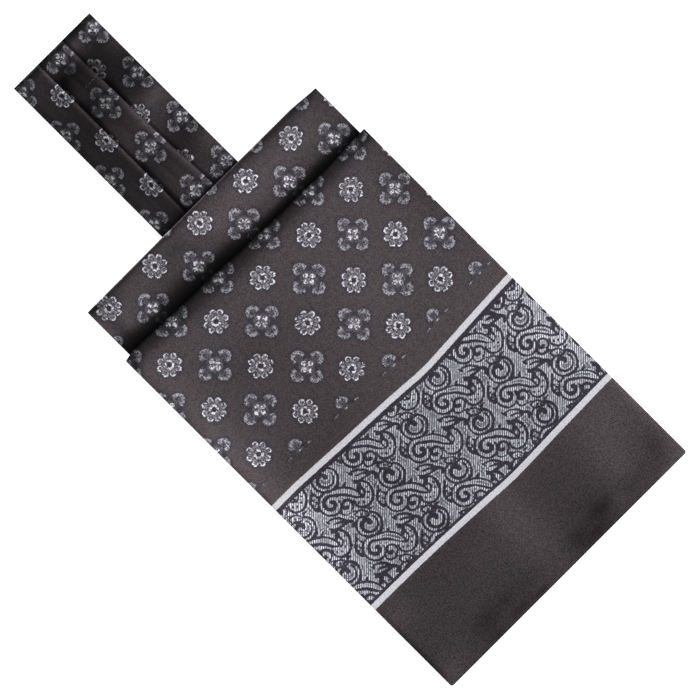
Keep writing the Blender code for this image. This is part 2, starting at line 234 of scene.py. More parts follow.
# Painted light and shadow by the tuck: how light the silk's colour is painted on the strip above the roll's
# edge, where the roll's shadow is painted, on the roll below it, and up the strip to its top fold, with a
# painted highlight on that fold's edge
LIGHT = "gap light"  # millimetres, or y for the last of these tables
STRIP_LIGHTS = table(
    LIGHT,
    (0.5, 0.02), (2, 0.03), (3.2, 0.06), (4.7, 0.11), (6.2, 0.25), (7.7, 0.46), (9.2, 0.68), (11, 0.76),
    (13, 0.74), (16, 0.84), (20, 0.94),
)
ROLL_LIGHTS = table(
    LIGHT,
    (0, 0.04), (1.3, 0.09), (2.8, 0.21), (4.3, 0.29), (6, 0.37), (7.5, 0.48), (9, 0.66), (13, 0.92),
    (18, 1),
)
# Painted light on the silk under the roll
UNDER_ROLL = 0.40  # how light the silk lies under the roll, out of sight from above
TOP_LIGHTS = table(
    LIGHT,
    (68, 1), (71, 0.92), (72.5, 0.74), (73.5, 0.5), (74.4, 0.34), (74.8, 0.8), (75.1, 1.7),
)

# How light the silk's colour is painted down each strip of the neckband; in the painted shadow beside each
# pleat, its depth and width; and along the pleat's own edge, how much lighter its painted highlight makes it
BAND_LIGHTS = table(
    "y left middle right",
    (75, 0.02, 0.04, 0.05), (76.6, 0.035, 0.1, 0.11), (78, 0.1, 0.27, 0.28), (82, 0.21, 0.42, 0.42),
    (90, 0.22, 0.36, 0.38), (102, 0.2, 0.25, 0.19), (112, 0.2, 0.37, 0.35), (120, 0.2, 0.42, 0.52),
    (127, 0.19, 0.35, 0.5), (136, 0.16, 0.2, 0.2), (148, 0.18, 0.17, 0.13), (160, 0.22, 0.1, 0.15),
    (163, 0.25, 0.09, 0.16), (167, 0.28, 0.28, 0.28), (172, 0.3, 0.4, 0.42), (174, 0.18, 0.2, 0.2),
    (176, 0.06, 0.07, 0.07),
)
PLEAT_LIGHTS = table(
    "y depth1 width1 gleam1 depth2 width2 gleam2",
    (76, 0.92, 2.8, 0.5, 0.2, 1.5, 1.3), (90, 0.86, 2.9, 1.6, 0.25, 1.5, 1.3),
    (99, 0.8, 2.7, 2.4, 0.5, 1.6, 1.8), (106, 0.92, 3.4, 2.7, 0.5, 2.4, 1.8),
    (112, 0.6, 2.2, 3, 0.2, 1.7, 1.8), (122, 0.65, 1.4, 3.3, 0.1, 1.5, 1.8),
    (136, 0.9, 2.6, 3, 0.8, 2.2, 2), (146, 0.92, 3.4, 2.6, 0.92, 3.6, 2.4),
    (150, 0.8, 2.8, 2.6, 0.4, 2.6, 2.3), (153, 0.3, 2.6, 2.7, 0.15, 1.8, 2.3),
    (157, 0.7, 3.2, 3, 0.45, 2, 2.2), (162, 0.92, 4.4, 3, 0.6, 2.2, 2.2), (165, 0.55, 4, 3, 0.5, 2, 2),
    (169, 0.25, 2.5, 3, 0.4, 1.6, 1.6), (177, 0.25, 1.5, 2, 0.4, 1.5, 1),
)
# Widths of the painted highlights along the pleats' edges
GLEAM_WIDTHS = (1.4, 2.2)
# Painted light and dark patches on the neckband
BAND_PATCHES = table(
    PATCH,
    (22, 127.5, 6, 4.5, 1.65), (16, 125, 4, 3, 1.25), (11, 171, 4, 4, 1.5), (-25.5, 146, 2, 50, 0.75),
    (-17, 158, 4, 12, 1.2), (-4.5, 163.5, 4, 3.2, 0.45), (-1, 167.5, 3.5, 3, 0.45), (-3, 143, 4, 4, 0.74),
    (23, 108, 5, 3.5, 0.78), (25, 160, 5, 5, 1.35), (10, 157, 2, 3, 0.72), (-5.5, 153, 3.5, 3.5, 1.4),
    (0, 145, 6, 3, 0.85), (25, 155, 6, 8, 2), (25, 95, 6, 7, 2), (25, 169, 4, 7, 1.35),
)

# The folded lengths between the blades
FOLDED_TOP = table(
    SECTION,
    (-41, 4.5), (-38, 5.2), (-30, 6.1), (-18, 7.3), (-6, 8.15), (5, 8.6), (18, 8.6), (33, 7.66), (45, 7.88),
    (50, 8.34), (62.7, 8.7),
)
FOLDED_HALF_WIDTH, FOLDED_CORNER = 73.5, 2.5
LAYERS = 5

# The tack across the pleats: its thread and its stitches, each from x to x
TACK_Y = 153.0
TACK_RADIUS = 0.10
TACK_STITCHES = ((-1.0, 0.6), (1.1, 3.0), (3.4, 5.4), (6.4, 7.4))
TACK_SIDES = 8  # of a stitch, and the parts of its length

# Colours as they look in the soft light, 0 to 255
GROUND = (79, 72, 75)
GROUND_SHADE = (74, 68, 71)
HALO = (57, 55, 64)
SILVER = (246, 244, 252)
SCROLL_DARK = (56, 53, 60)
SCROLL_GREY = (92, 91, 100)
SCROLL_LIGHT = (230, 231, 242)
STRIPE = (222, 221, 227)
STRIPE_RIB = (186, 184, 191)
BACKING = (58, 52, 54)
THREAD = (104, 92, 100)
LIGHT_GAIN = 1.25  # how much brighter the light makes a pale surface than its colour
# Periods of the weaves, in millimetres
TWILL, FLOATS, RIBS, BACKING_TWILL, THREAD_TWIST = 0.62, 0.9, 0.75, 0.7, 0.5


# ---- Curves and grids ----


def smooth(low, high, value):
    """0 below low, 1 above high, and a soft step between."""
    share = np.clip((value - low) / (high - low), 0.0, 1.0)
    return share * share * (3 - 2 * share)


def read(rows, place, name):
    """The column called name at a place between the rows of a table, whose first column is the place."""
    return np.interp(place, [row[0] for row in rows], [getattr(row, name) for row in rows])


def lengths_of(points):
    """The length of each run from a point to the next."""
    return np.sqrt((np.diff(points, axis=0) ** 2).sum(axis=1))


def marks_of(lengths):
    """How far along lies each point that parts the lengths."""
    return np.concatenate(([0.0], np.cumsum(lengths)))


def through(points, step):
    """Places about a step apart along a smooth curve through points, and how far along each lies."""
    points = np.array(points, float)
    lengths = lengths_of(points)
    slopes = np.diff(points, axis=0) / lengths[:, None]
    before, after = lengths[:-1, None], lengths[1:, None]
    inner = (slopes[:-1] * after + slopes[1:] * before) / (before + after)
    tangents = np.vstack((slopes[:1], inner, slopes[-1:]))
    marks = marks_of(lengths)
    places = np.linspace(0.0, marks[-1], max(3, int(round(marks[-1] / step)) + 1))
    index = np.clip(np.searchsorted(marks, places, "right") - 1, 0, len(lengths) - 1)
    share = ((places - marks[index]) / lengths[index])[:, None]
    length = lengths[index][:, None]
    start, end = points[index], points[index + 1]
    bent = tangents[index] * share * (1 - share) ** 2 - tangents[index + 1] * share**2 * (1 - share)
    return start + (end - start) * share**2 * (3 - 2 * share) + length * bent, places


def half_turn(place, first, last, side):
    """Points round a half turn of cloth at a place along the path, from height first to height last,
    bulging to side, +1 or -1."""
    middle, half = (first + last) / 2, (first - last) / 2
    angles = np.linspace(0, math.pi, 15)
    return [(place + side * abs(half) * math.sin(a), middle + half * math.cos(a)) for a in angles]


def side_of(path):
    """The direction to the right of each point's way along a path of (place, height)."""
    run = np.gradient(path, axis=0)
    run /= np.sqrt((run**2).sum(axis=1))[:, None]
    return np.stack((run[:, 1], -run[:, 0]), axis=1)


def evenly(path, steps):
    """Places along a dense path whose spacing follows the step wanted at each of its points."""
    counts = marks_of(lengths_of(path) / ((steps[1:] + steps[:-1]) / 2))
    rows = int(round(counts[-1])) + 1
    return np.interp(np.linspace(0, counts[-1], rows), counts, np.arange(len(path)))


def at(values, places):
    """Values of a dense list at fractional places in it."""
    values = np.asarray(values, float)
    if values.ndim == 1:
        return np.interp(places, np.arange(len(values)), values)
    return np.stack([at(column, places) for column in values.T], axis=1)


def linked(name, data):
    """An object in the scene for its data."""
    thing = bpy.data.objects.new(name, data)
    bpy.context.scene.collection.objects.link(thing)
    return thing


def new_piece(name, points, faces, material):
    """A smooth mesh in the scene."""
    mesh = bpy.data.meshes.new(name)
    mesh.from_pydata(points, [], faces)
    mesh.shade_smooth()
    mesh.materials.append(material)
    return linked(name, mesh)


def grid_mesh(name, points, material, cloth, flip, **measures):
    """A piece of cloth from a grid of points, with its cloth coordinates as a UV map and its measures
    as attributes."""
    rows, columns = points.shape[:2]
    index = np.arange(rows * columns).reshape(rows, columns)
    corners = [index[:-1, :-1], index[:-1, 1:], index[1:, 1:], index[1:, :-1]]
    faces = np.stack(corners[:: -1 if flip else 1], axis=-1).reshape(-1, 4)
    piece = new_piece(name, points.reshape(-1, 3).tolist(), faces.tolist(), material)
    layer = piece.data.uv_layers.new(name="cloth")
    layer.data.foreach_set("uv", cloth.reshape(-1, 2)[faces.ravel()].astype(np.float32).ravel())
    for title, values in measures.items():
        measure = piece.data.attributes.new(title, "FLOAT", "POINT")
        measure.data.foreach_set("value", np.asarray(values, np.float32).ravel())
    return piece


def weld(mesh):
    """Joins points that lie in one place."""
    work = bmesh.new()
    work.from_mesh(mesh)
    bmesh.ops.remove_doubles(work, verts=work.verts, dist=0.001 * MM)
    work.to_mesh(mesh)
    work.free()


# ---- Scrolls of the border ----

# Light hatching fills the border, and these dark lines draw the scrolls in it. Places are across the
# hatching and along it, from the middle of a scroll's head, turns are (degrees, radius) round a
# middle, and widths are half widths.
SCROLL_MIDDLE = (14.4, -73.3)
SCROLL_STEPS = ((24.4, 10.15), (0, 30.5))
LINE_REACH, FAR = 1.5, 3.0  # how far from a dark line places are measured, and what the rest get
ARM_TOP = ((14.9, 3.7), (12.2, 6.3), (8.4, 7.9), (4.2, 8), (1, 7))
HEAD_OUTER = ((110, 6.5), (180, 6.4), (245, 6.2), (300, 5.7), (345, 4.8), (385, 3.7))
ARM_BELOW = ((14.9, 3.7), (11.4, 3.5), (7.8, 4.3), (4.4, 4.6), (1.8, 4.1))
HEAD_INNER = ((104, 3.9), (180, 3.7), (250, 3.1), (310, 2.3), (370, 1.5), (430, 0.7))
BALL_MIDDLE = (-3.9, 11.9)
BALL_OUTER = (
    (84, 6), (45, 6.6), (0, 6.6), (-60, 6.4), (-120, 6.3), (-175, 6), (-215, 5.2), (-240, 4.2),
)
BALL_INNER = (
    (64, 4.5), (20, 4.6), (-30, 4.4), (-85, 4), (-140, 3.6), (-190, 3), (-240, 2.3), (-300, 1.2),
)
BUD = ((-10.6, 16.4), (-8.6, 18.3), (-5.4, 18.3), (-3.6, 16.9), (-5.4, 15.4), (-8.4, 15), (-10.6, 16.4))
BUD_DOTS = ((-7.2, 16.7), (-5.4, 16.9))
SHELL = (
    (10.4, 10.6), (13.2, 11.7), (16.6, 10.7), (18.9, 7.6), (19.5, 3.6), (18.2, 0.2), (15, -1.5),
    (11.9, -0.7), (10.6, 1.6),
)
SHELL_TEETH = ((14.9, 3.7), (15.6, 6.3), (13.7, 8.6))
SHELL_DOTS = ((16.4, 8.8), (17.2, 6.2), (17, 3.4), (15.2, 1.2), (13, 0.9))
EYE_MIDDLE = (7.3, -0.7)
EYE_TURNS = ((-50, 3.2), (20, 2.9), (90, 2.6), (160, 2.4), (225, 1.9), (290, 0.9))
FINGERS = (
    ((7.6, -8.4), (4.2, -7.2), (1, -7.5), (-1.4, -8.9), (-1, -10)),
    ((7.6, -8.9), (4, -9.1), (1.2, -10.2)),
    ((7.4, -9.4), (4.6, -11.3), (1.4, -12.8), (-0.8, -12.6)),
)
STEM = ((6.4, -9), (9, -8.4), (10.6, -9), (10.4, -11))
CLAW = ((0.6, -13), (2.8, -14.6), (2.6, -16.6))
TENDRIL = ((4.4, -3.6), (5.2, -5), (7.4, -5.4), (9.8, -4), (11.6, -3.4))
SPIKES = (
    ((-6.2, 2.6), (-8.4, 3.9)), ((-6.4, 0.2), (-8.8, 0.6)), ((-5.9, -2.6), (-8.2, -3.2)),
    ((-3.6, 19.4), (-1.8, 20.8)), ((2.2, 8.6), (3.4, 10.4)), ((5.6, 9.2), (6.2, 10.8)),
    ((21.9, 6.4), (23.6, 7.6)), ((21.7, 3.8), (23.6, 4.6)), ((22.6, 1.2), (24.4, 2.2)),
    ((-1.2, -9.6), (-3.2, -8.8)),
)
LEAF = ((21.8, 9.4), (21.9, 6.6), (21.6, 3.6), (22.9, 0.6), (25.2, -0.8))


def spiral(middle, turns):
    """A spiral round middle through its turns, with a point every 12 degrees or so."""
    path, _ = through(turns, 12.0)
    angle = np.radians(path[:, 0])
    return np.array(middle) + path[:, 1:] * np.stack((np.cos(angle), np.sin(angle)), axis=1)


def bent(points):
    """A smooth curve through the points."""
    return through(points, 0.7)[0]


def scroll_lines():
    """(path, first and last half width) of each dark line of one scroll, in the cloth's directions."""
    lines = [
        (np.vstack((bent(ARM_TOP), spiral((0, 0), HEAD_OUTER))), 0.50, 0.55),
        (np.vstack((bent(ARM_BELOW), spiral((0, 0), HEAD_INNER))), 0.45, 1.10),
        (spiral(BALL_MIDDLE, BALL_OUTER), 0.65, 0.50),
        (spiral(BALL_MIDDLE, BALL_INNER), 0.40, 1.20),
        (bent(BUD), 0.45, 0.45),
        (bent(SHELL), 0.80, 0.50),
        (bent(SHELL_TEETH), 0.40, 0.60),
        (spiral(EYE_MIDDLE, EYE_TURNS), 0.45, 0.95),
        (bent(STEM), 0.95, 0.75),
        (bent(CLAW), 0.85, 1.15),
        (bent(TENDRIL), 0.60, 0.40),
        (bent(LEAF), 0.45, 0.80),
    ]
    lines += [(bent(finger), 0.70, 0.45) for finger in FINGERS]
    lines += [(np.array(spike, float), 0.75, 0.20) for spike in SPIKES]
    lines += [(np.array((spot, spot)) + ((0, 0), (0.01, 0)), 0.55, 0.55) for spot in SHELL_DOTS + BUD_DOTS]
    turn = math.sqrt(0.5) * np.array(((1, -1), (1, 1)))
    return [(path @ turn, first, last) for path, first, last in lines]


def line_distance(a, b, path, first, last):
    """How far places lie outside a line whose half width goes from first to last."""
    best = np.full(len(a), 9.0)
    count = len(path) - 1
    for k, (start, end) in enumerate(zip(path, path[1:])):
        run = end - start
        share = ((a - start[0]) * run[0] + (b - start[1]) * run[1]) / (run @ run + 1e-12)
        share = np.clip(share, 0, 1)
        gap = np.hypot(a - start[0] - share * run[0], b - start[1] - share * run[1])
        best = np.minimum(best, gap - first - (last - first) * (k + share) / count)
    return best


def scroll_distance(cloth):
    """How far each place of the cloth lies outside the dark lines of the scrolls, negative in them."""
    u, v = cloth[..., 0].ravel(), cloth[..., 1].ravel()
    result = np.full(len(u), FAR)
    border = np.nonzero((v < BORDER_TOP + 2) & (v > BORDER_END - 2))[0]
    u, v = u[border], v[border]
    best = np.full(len(u), FAR)
    (step_u, slant), (_, step_v) = SCROLL_STEPS
    across = u - SCROLL_MIDDLE[0]
    for path, first, last in scroll_lines():
        middle = path.mean(axis=0)
        reach = np.abs(path - middle).max(axis=0) + LINE_REACH
        column = np.round((across - middle[0]) / step_u)
        for beside in (-1, 0, 1):
            a = across - (column + beside) * step_u
            rise = v - SCROLL_MIDDLE[1] - (column + beside) * slant
            row = np.round((rise - middle[1]) / step_v)
            for above in (-1, 0, 1):
                b = rise - (row + above) * step_v
                near = (abs(a - middle[0]) < reach[0]) & (abs(b - middle[1]) < reach[1])
                if near.any():
                    best[near] = np.minimum(best[near], line_distance(a[near], b[near], path, first, last))
    result[border] = best
    return result


# ---- Blades ----


def drop(x, y):
    """How far the upper layers fall at the sides, where no neckband lies under them."""
    return SIDE_DROP * smooth(*DROP_SIDES, abs(x)) * smooth(*DROP_ENDS, y)


def tuck_place(x, name):
    """A measure of the tuck at each x, in metres as x is, or a share."""
    path, _ = through([(place.x, getattr(place, name)) for place in TUCK_PLACES], 1.0)
    return np.interp(x / MM, path[:, 0], path[:, 1])


def near_tuck(y):
    """1 by the tuck, and 0 well above and below it."""
    return (1 - smooth(*TUCK_ABOVE, y)) * smooth(*TUCK_BELOW, y)


def hill(x, y, spot):
    """1 in the middle of a soft oval spot, and less the farther out a place lies."""
    return np.exp(-(((x - spot.x) / spot.half_width) ** 2 + ((y - spot.y) / spot.half_length) ** 2))


def ridges(x, y):
    """The height of the panel's soft ridges."""
    return sum(ridge.height * MM * hill(x / MM, y / MM, ridge) for ridge in RIDGES)


def creases(x, y):
    """The height of the panel's creases."""
    height = 0
    for crease in CREASES:
        run, rise = crease.x1 - crease.x0, crease.y1 - crease.y0
        share = ((x / MM - crease.x0) * run + (y / MM - crease.y0) * rise) / (run**2 + rise**2)
        near = np.clip(share, 0, 1)
        gap = np.hypot(x / MM - crease.x0 - near * run, y / MM - crease.y0 - near * rise)
        ends = np.sin(math.pi * np.clip(share * 0.9 + 0.05, 0, 1))
        height += crease.height * MM * ends * np.exp(-((gap / crease.half_width) ** 2))
    return height


def bow(u, v, widened):
    """How far the pattern bows down at a place of the panel, or of the strip where it isn't widened."""
    flowers, upper, lower = [read(BOWS, u, name) for name in ("flowers", "upper", "lower")]
    flowers_v, upper_v, lower_v = BOW_PLACES
    down = np.interp(v, (lower_v, upper_v), (1.0, 0.0))
    below = np.interp(v, (upper_v, flowers_v), (1.0, 0.0))
    panel = lower * down + upper * (below - down) + flowers * (1 - below)
    panel = panel + np.interp(u, *zip(*ROLL_BOWS)) * smooth(*ROLL_FROM, v)
    panel = panel + np.interp(u, *zip(*ROW_BOWS)) * np.exp(-(((v - ROW_AT) / ROW_REACH) ** 2))
    high, low = [read(STRIP_BOWS, u, name) for name in ("high", "low")]
    share = smooth(*STRIP_BOW_PLACES, v - STRIP_RISE)
    return panel * widened + (low + (high - low) * share) * (1 - widened)


def front_path():
    """The front blade from its side: the middle of its cloth, the pattern's v, how far the cloth has
    widened from the strip to the panel, and whether it is the panel."""
    nose_low = TURN_UNDER[-1].z
    fold, roll = FOLD_RADIUS / MM, ROLL_RADIUS / MM
    nose = half_turn((STRIP_TOP - WALL / 2) / MM - fold, nose_low, nose_low + 2 * fold, 1)
    deep = half_turn(TUCK_DEEP.y, TUCK_DEEP.z, TUCK_DEEP.z + 2 * fold, -1)
    over = half_turn((TUCK_EDGE - WALL / 2) / MM - roll, ROLL_LOW, ROLL_LOW + 2 * roll, 1)
    path, places = through([*TURN_UNDER, *nose, *STRIP, *deep, TUCK_RETURN, *over, *PANEL], PATH_STEP)
    nose_top = int(np.argmax(path[:, 0]))
    strip_end = nose_top + int(50 / PATH_STEP)
    tuck = nose_top + int(np.argmin(path[nose_top:strip_end, 0]))
    crown = tuck + int(np.argmax(path[tuck:, 0]))
    top_v = path[nose_top, 0] + STRIP_RISE
    v_marks = (top_v + places[nose_top], top_v, path[tuck, 0] + STRIP_RISE, path[crown, 0])
    v = np.interp(places, places[[0, nose_top, tuck, crown]], v_marks)
    v[crown:] = path[crown:, 0]
    widened = smooth(places[tuck] - WIDEN_BEFORE, places[crown], places)
    on_panel = np.arange(len(path)) >= crown
    return path * MM, v, widened, on_panel


def row_places(path, v, step, border_step):
    """Rows closer together in the border and round folds."""
    side = side_of(path)
    bend = np.sqrt((np.gradient(side, axis=0) ** 2).sum(axis=1)) / (PATH_STEP * MM)
    steps = np.where((v < BORDER_TOP + 4) & (v > BORDER_END - 3), border_step, step)
    return evenly(path, np.minimum(steps, ROW_BEND / np.maximum(bend, 1)))


def blade_sheet(path, side, widened, on_panel, columns, wrap, flat_turn, inset, relief):
    """Points of one face of a blade. Its flat part lies flat_turn round from the face that side points
    to, and wrap has the angles of the lines of points that turn round its sides and its square end,
    for which the path's last point is there once more each."""
    shares = np.concatenate((np.full(len(wrap), -1.0), columns, np.full(len(wrap), 1.0)))
    turns = np.concatenate((wrap[::-1], np.full(len(columns), flat_turn), wrap))
    ends = np.concatenate((np.full(len(path) - len(wrap), flat_turn), wrap))[:, None]
    half = ((STRIP_WIDTH + (BLADE_WIDTH - STRIP_WIDTH) * widened) / 2 - EDGE_BULGE - inset)[:, None]
    middle = (STRIP_SHIFT * (1 - widened))[:, None]
    x, y, z = middle + half * shares, path[:, :1], path[:, 1:]
    if relief:
        fall = NOSE_FALL * smooth(*FALL_SIDE, x) * smooth(*FALL_TOP, y)
        z = z - drop(x, y) + on_panel[:, None] * (ridges(x, y) + creases(x, y))
        y = y + (TUCK_SLANT * shares + tuck_place(x, "rise") * MM) * near_tuck(y) - fall
    inside = np.maximum(0.0, CORNER_RADIUS - (half - abs(x - middle)))
    rounded = CORNER_RADIUS - np.sqrt(np.maximum(CORNER_RADIUS**2 - inside**2, 0))
    y = y + rounded * (1 - smooth(0, 3 * MM, y - path[-1, 0]))
    angle = np.minimum(turns, ends) if flat_turn else np.maximum(turns, ends)
    sideways = np.sin(turns) * np.sign(shares)
    endways = np.sin(ends)
    reach = np.maximum(np.hypot(sideways, endways), 1e-9)
    out = np.sin(angle) * EDGE_BULGE
    x = x + sideways / reach * out
    y = y + side[:, :1] * np.cos(angle) * WALL / 2 - endways / reach * out
    z = z + side[:, 1:] * np.cos(angle) * WALL / 2
    return np.stack((x, y, z), axis=-1)


def blade_cloth(points, v, widened, front):
    """The cloth coordinates of a blade's points, in millimetres."""
    x = points[..., 0] / MM * (1 if front else -1)
    wide = widened[:, None]
    low = 1 - smooth(*STRIP_LOW, points[..., 1] / MM)
    strip = (x + STRIP_OFFSET) / STRIP_SQUEEZE + low * (LOW_LEFT + LOW_SQUEEZE * x)
    v = v[:, None]
    aside = np.interp(x, *zip(*ASIDES)) * smooth(*ASIDE_FROM, v)
    u = strip * (1 - wide) + (x - aside) * wide
    v = v + bow(x, v, wide)
    if front:
        v = v + tuck_place(points[..., 0], "rise") * near_tuck(points[..., 1])
    return np.stack((u, v), axis=-1)


def patches(x, y, spots):
    """The product of soft painted light and dark patches at a place."""
    light = 1
    for patch in spots:
        light = light * (1 + (patch.light - 1) * hill(x, y, patch))
    return light


def blade_shade(points, widened, on_panel):
    """The painted light and shade at each point of the front blade: how much lighter or darker its colour is
    made for its sheen and for the shadows by the tuck and its edges.
    """
    x, y = points[..., 0] / MM, points[..., 1] / MM
    panel = on_panel[:, None]
    rise, above, below = [tuck_place(points[..., 0], name) for name in ("rise", "above", "below")]
    edge = TUCK_EDGE / MM + TUCK_SLANT / MM * x / TUCK_SIDE + rise
    strip = read(STRIP_LIGHTS, (y - edge) / above, "light") * read(TOP_LIGHTS, y, "light")
    # The cloth lies under the roll where it has widened from about half to most of its way, and its painted
    # light is raised there
    under_roll = UNDER_ROLL * smooth(0.35, 0.7, widened) * (1 - smooth(0.85, 0.98, widened))
    strip = strip * patches(x, y, STRIP_PATCHES) + under_roll[:, None]
    plain = smooth(PLAIN_TOP + 3, PLAIN_TOP - 1, y)
    plain_light = PLAIN_LIGHT * patches(x, y, PLAIN_PATCHES)
    main = read(ROLL_LIGHTS, (edge - y) / below, "light")
    main = main * (patches(x, y, PANEL_PATCHES) * (1 - plain) + plain_light * plain)
    return strip * (1 - panel) + main * panel


def blade_pieces(name, silk, backing, front):
    """The figured outer silk of a blade and its plain backing."""
    path, v, widened, on_panel = front_path() if front else back_path()
    face = side_of(path) * (1 if front else -1)
    inset = 0.0 if front else BACK_INSET
    fine_step, columns = (BORDER_STEP, 320) if front else (BACK_STEP, 200)
    pieces = []
    for title, material, flat_turn, wrap, step, border_step, count in (
        ("silk", silk, 0.0, SILK_WRAP, PLAIN_STEP, fine_step, columns),
        ("backing", backing, math.pi, BACKING_WRAP, BACKING_STEP, BACKING_STEP, 60),
    ):
        places = np.pad(row_places(path, v, step, border_step), (0, len(wrap)), mode="edge")
        rows = [at(values, places) for values in (path, face, widened, on_panel, v)]
        shares = np.linspace(-1, 1, count + 1)
        points = blade_sheet(*rows[:4], shares, np.radians(wrap), flat_turn, inset, relief=front)
        cloth = blade_cloth(points, rows[4], rows[2], front)
        # The front blade's painted light and shade, on its silk and its backing; the back blade's is even
        measures = {"shade": blade_shade(points, *rows[2:4]) if front else np.ones(points.shape[:2])}
        if title == "silk":
            measures["scroll"] = scroll_distance(cloth)
        flip = (title == "silk") == front
        pieces.append(grid_mesh(f"{name}_{title}", points, material, cloth, flip, **measures))
    return pieces


def back_path():
    """What front_path gives, for the back blade: face down, from its own top fold to its square end."""
    low, fold = HALF_WALL, FOLD_RADIUS / MM
    nose = half_turn((STRIP_TOP - BACK_INSET - WALL / 2) / MM - fold, low + 2 * fold, low, 1)
    end = (BLADE_END + BACK_INSET + EDGE_BULGE) / MM
    start = nose[0][0] - 0.5
    upper = [(TURN_UNDER[0].y, low + 2 * fold), (start, low + 2 * fold)]
    path, _ = through([*upper, *nose, (start, low), (60, low), (-60, low), (end, low)], PATH_STEP)
    widened = 1 - smooth(30, TUCK_EDGE / MM - 1, path[:, 0])
    return path * MM, path[:, 0].copy(), widened, np.zeros(len(path))


# ---- Neckband ----


def band_curve():
    """The pleated front half from its end: (x, z), and for each point its share of the second pleat's
    drift, the pattern's u, its v less y, and the number of its strip."""
    points, measures = [], []

    def add(new, shares, number):
        pattern = STRIP_PATTERNS[number]
        points.extend(new)
        for (x, _), share in zip(new, shares):
            u = pattern.u + pattern.gathered * (x - pattern.x)
            measures.append((share, u, pattern.rise, number))

    for k, strip in enumerate((LEFT_STRIP, MIDDLE_STRIP, RIGHT_STRIP)):
        add([(p.x, p.z) for p in strip], [p.wander for p in strip], k)
        if k < len(PLEAT_EDGES):
            upper = BAND_BASE + 2 * RUN_PITCH
            edge = PLEAT_EDGES[k]
            over = half_turn(edge - HALF_WALL - RUN_PITCH / 2, upper, upper - RUN_PITCH, 1)
            inside = half_turn(edge - PLEAT_DEPTHS[k], upper - RUN_PITCH, BAND_BASE, -1)
            add(over, [k] * len(over), k)
            add(inside, [k] * len(inside), k + 1)
    path, places = through(points, 0.3)
    marks = marks_of(lengths_of(points))
    return path, [np.interp(places, marks, values) for values in zip(*measures)]


def with_caps(curve, face, columns):
    """A curve moved out to its face, with a round edge at either end, and its columns to match."""
    angles = np.radians((25, 50, 75, 100, 125, 150))
    ends = []
    for spot, normal, out in ((curve[0], face[0], -1.0), (curve[-1], face[-1], 1.0)):
        along = np.stack((out * np.sin(angles) * EDGE_BULGE / MM, 0 * angles), axis=1)
        ends.append(spot + normal * np.cos(angles)[:, None] * HALF_WALL + along)
    points = np.vstack((ends[0][::-1], curve + face * HALF_WALL, ends[1]))
    return points, [np.pad(values, len(angles), mode="edge") for values in columns]


def band_rows():
    """y, and what is left of the height above the fold's middle, of each row of points."""
    straight = np.linspace(BAND_END, BAND_NOSE, 92)
    nose = np.linspace(0, math.pi / 2, 14)[1:]
    y = np.concatenate((straight, BAND_NOSE + (BAND_TOP - BAND_NOSE) * np.sin(nose)))
    height = np.concatenate((np.ones(len(straight)), np.cos(nose)))
    return y, height


def band_grid(section, wander):
    """Points of one half of the neckband, from its (x, z) section."""
    y, height = band_rows()
    drift, lift = read(BAND_STATIONS, y, "drift"), read(BAND_STATIONS, y, "lift")
    x = section[None, :, 0] + drift[:, None] * wander[None, :]
    z = BAND_MIDDLE + (section[None, :, 1] - BAND_MIDDLE) * height[:, None] + lift[:, None]
    return np.stack((x, np.repeat(y[:, None], x.shape[1], axis=1), z), axis=-1)


def band_shade(points, strip):
    """The painted light and shade at each point of the neckband's front, whose columns each have a strip: a
    painted shadow beside each pleat and a painted highlight along its edge.
    """
    x, y = points[..., 0], points[..., 1]
    drift = read(BAND_STATIONS, y, "drift")
    share = [read(BAND_LIGHTS, y, name) for name in ("left", "middle", "right")]
    strip = np.round(strip).astype(int)[None, :] + 0 * y.astype(int)
    light = np.choose(strip, share) * patches(x, y, BAND_PATCHES)
    for k, edge in enumerate(PLEAT_EDGES):
        gap = x - edge - k * drift
        depth, width, gleam = [
            read(PLEAT_LIGHTS, y, f"{name}{k + 1}") for name in ("depth", "width", "gleam")
        ]
        gleam = gleam * np.exp(-((gap / GLEAM_WIDTHS[k]) ** 2))
        shadow = depth * np.exp(-((gap / width) ** 4))
        light = light * np.where(strip == k, 1 + gleam, np.where(strip == k + 1, 1 - shadow, 1))
    return light


def neckband(silk):
    """The pleated half that shows, and the half that lies under it."""
    curve, columns = band_curve()
    section, (wander, u, rise, strip) = with_caps(curve, -side_of(curve), columns)
    points = band_grid(section, wander)
    side = section[:, 0]
    v = points[..., 1] + rise + LEFT_SHEAR * smooth(*SHEAR_SIDE, side) * (np.round(strip) == 0)
    slide = RIGHT_SLIDE * (points[..., 0] - side) * (np.round(strip) == 2)
    cloth = np.stack((u + slide, v), axis=-1)
    # The front's painted light and shade
    measures = {"shade": band_shade(points, strip), "scroll": scroll_distance(cloth)}
    front = grid_mesh("neckband_front_silk", points * MM, silk, cloth, False, **measures)
    bulge = EDGE_BULGE / MM
    x = np.linspace(BAND_LEFT + BAND_INSET + bulge, BAND_RIGHT - BAND_INSET - bulge, 110)
    marks = sum(PRESSED_HEIGHT * np.exp(-(((x - place) / PRESSED_WIDTH) ** 2)) for place in PRESSED_AT)
    under = np.stack((x, HALF_WALL + marks), axis=1)
    section, (wander, u) = with_caps(under, np.tile((0.0, -1.0), (len(x), 1)), (0 * x, -x))
    points = band_grid(section, wander)
    cloth = np.stack((u + 0 * points[..., 1], points[..., 1]), axis=-1)
    # The half that lies under is painted a little darker, as painted shade
    measures = {"shade": np.full(points.shape[:2], 0.8), "scroll": scroll_distance(cloth)}
    back = grid_mesh("neckband_back_silk", points * MM, silk, cloth, True, **measures)
    return front, back


# ---- Folded lengths ----


def stack_top(x, y):
    """The height of the folded lengths' top, in millimetres as x and y are."""
    return read(FOLDED_TOP, y, "z") - drop(x * MM, y * MM) / MM


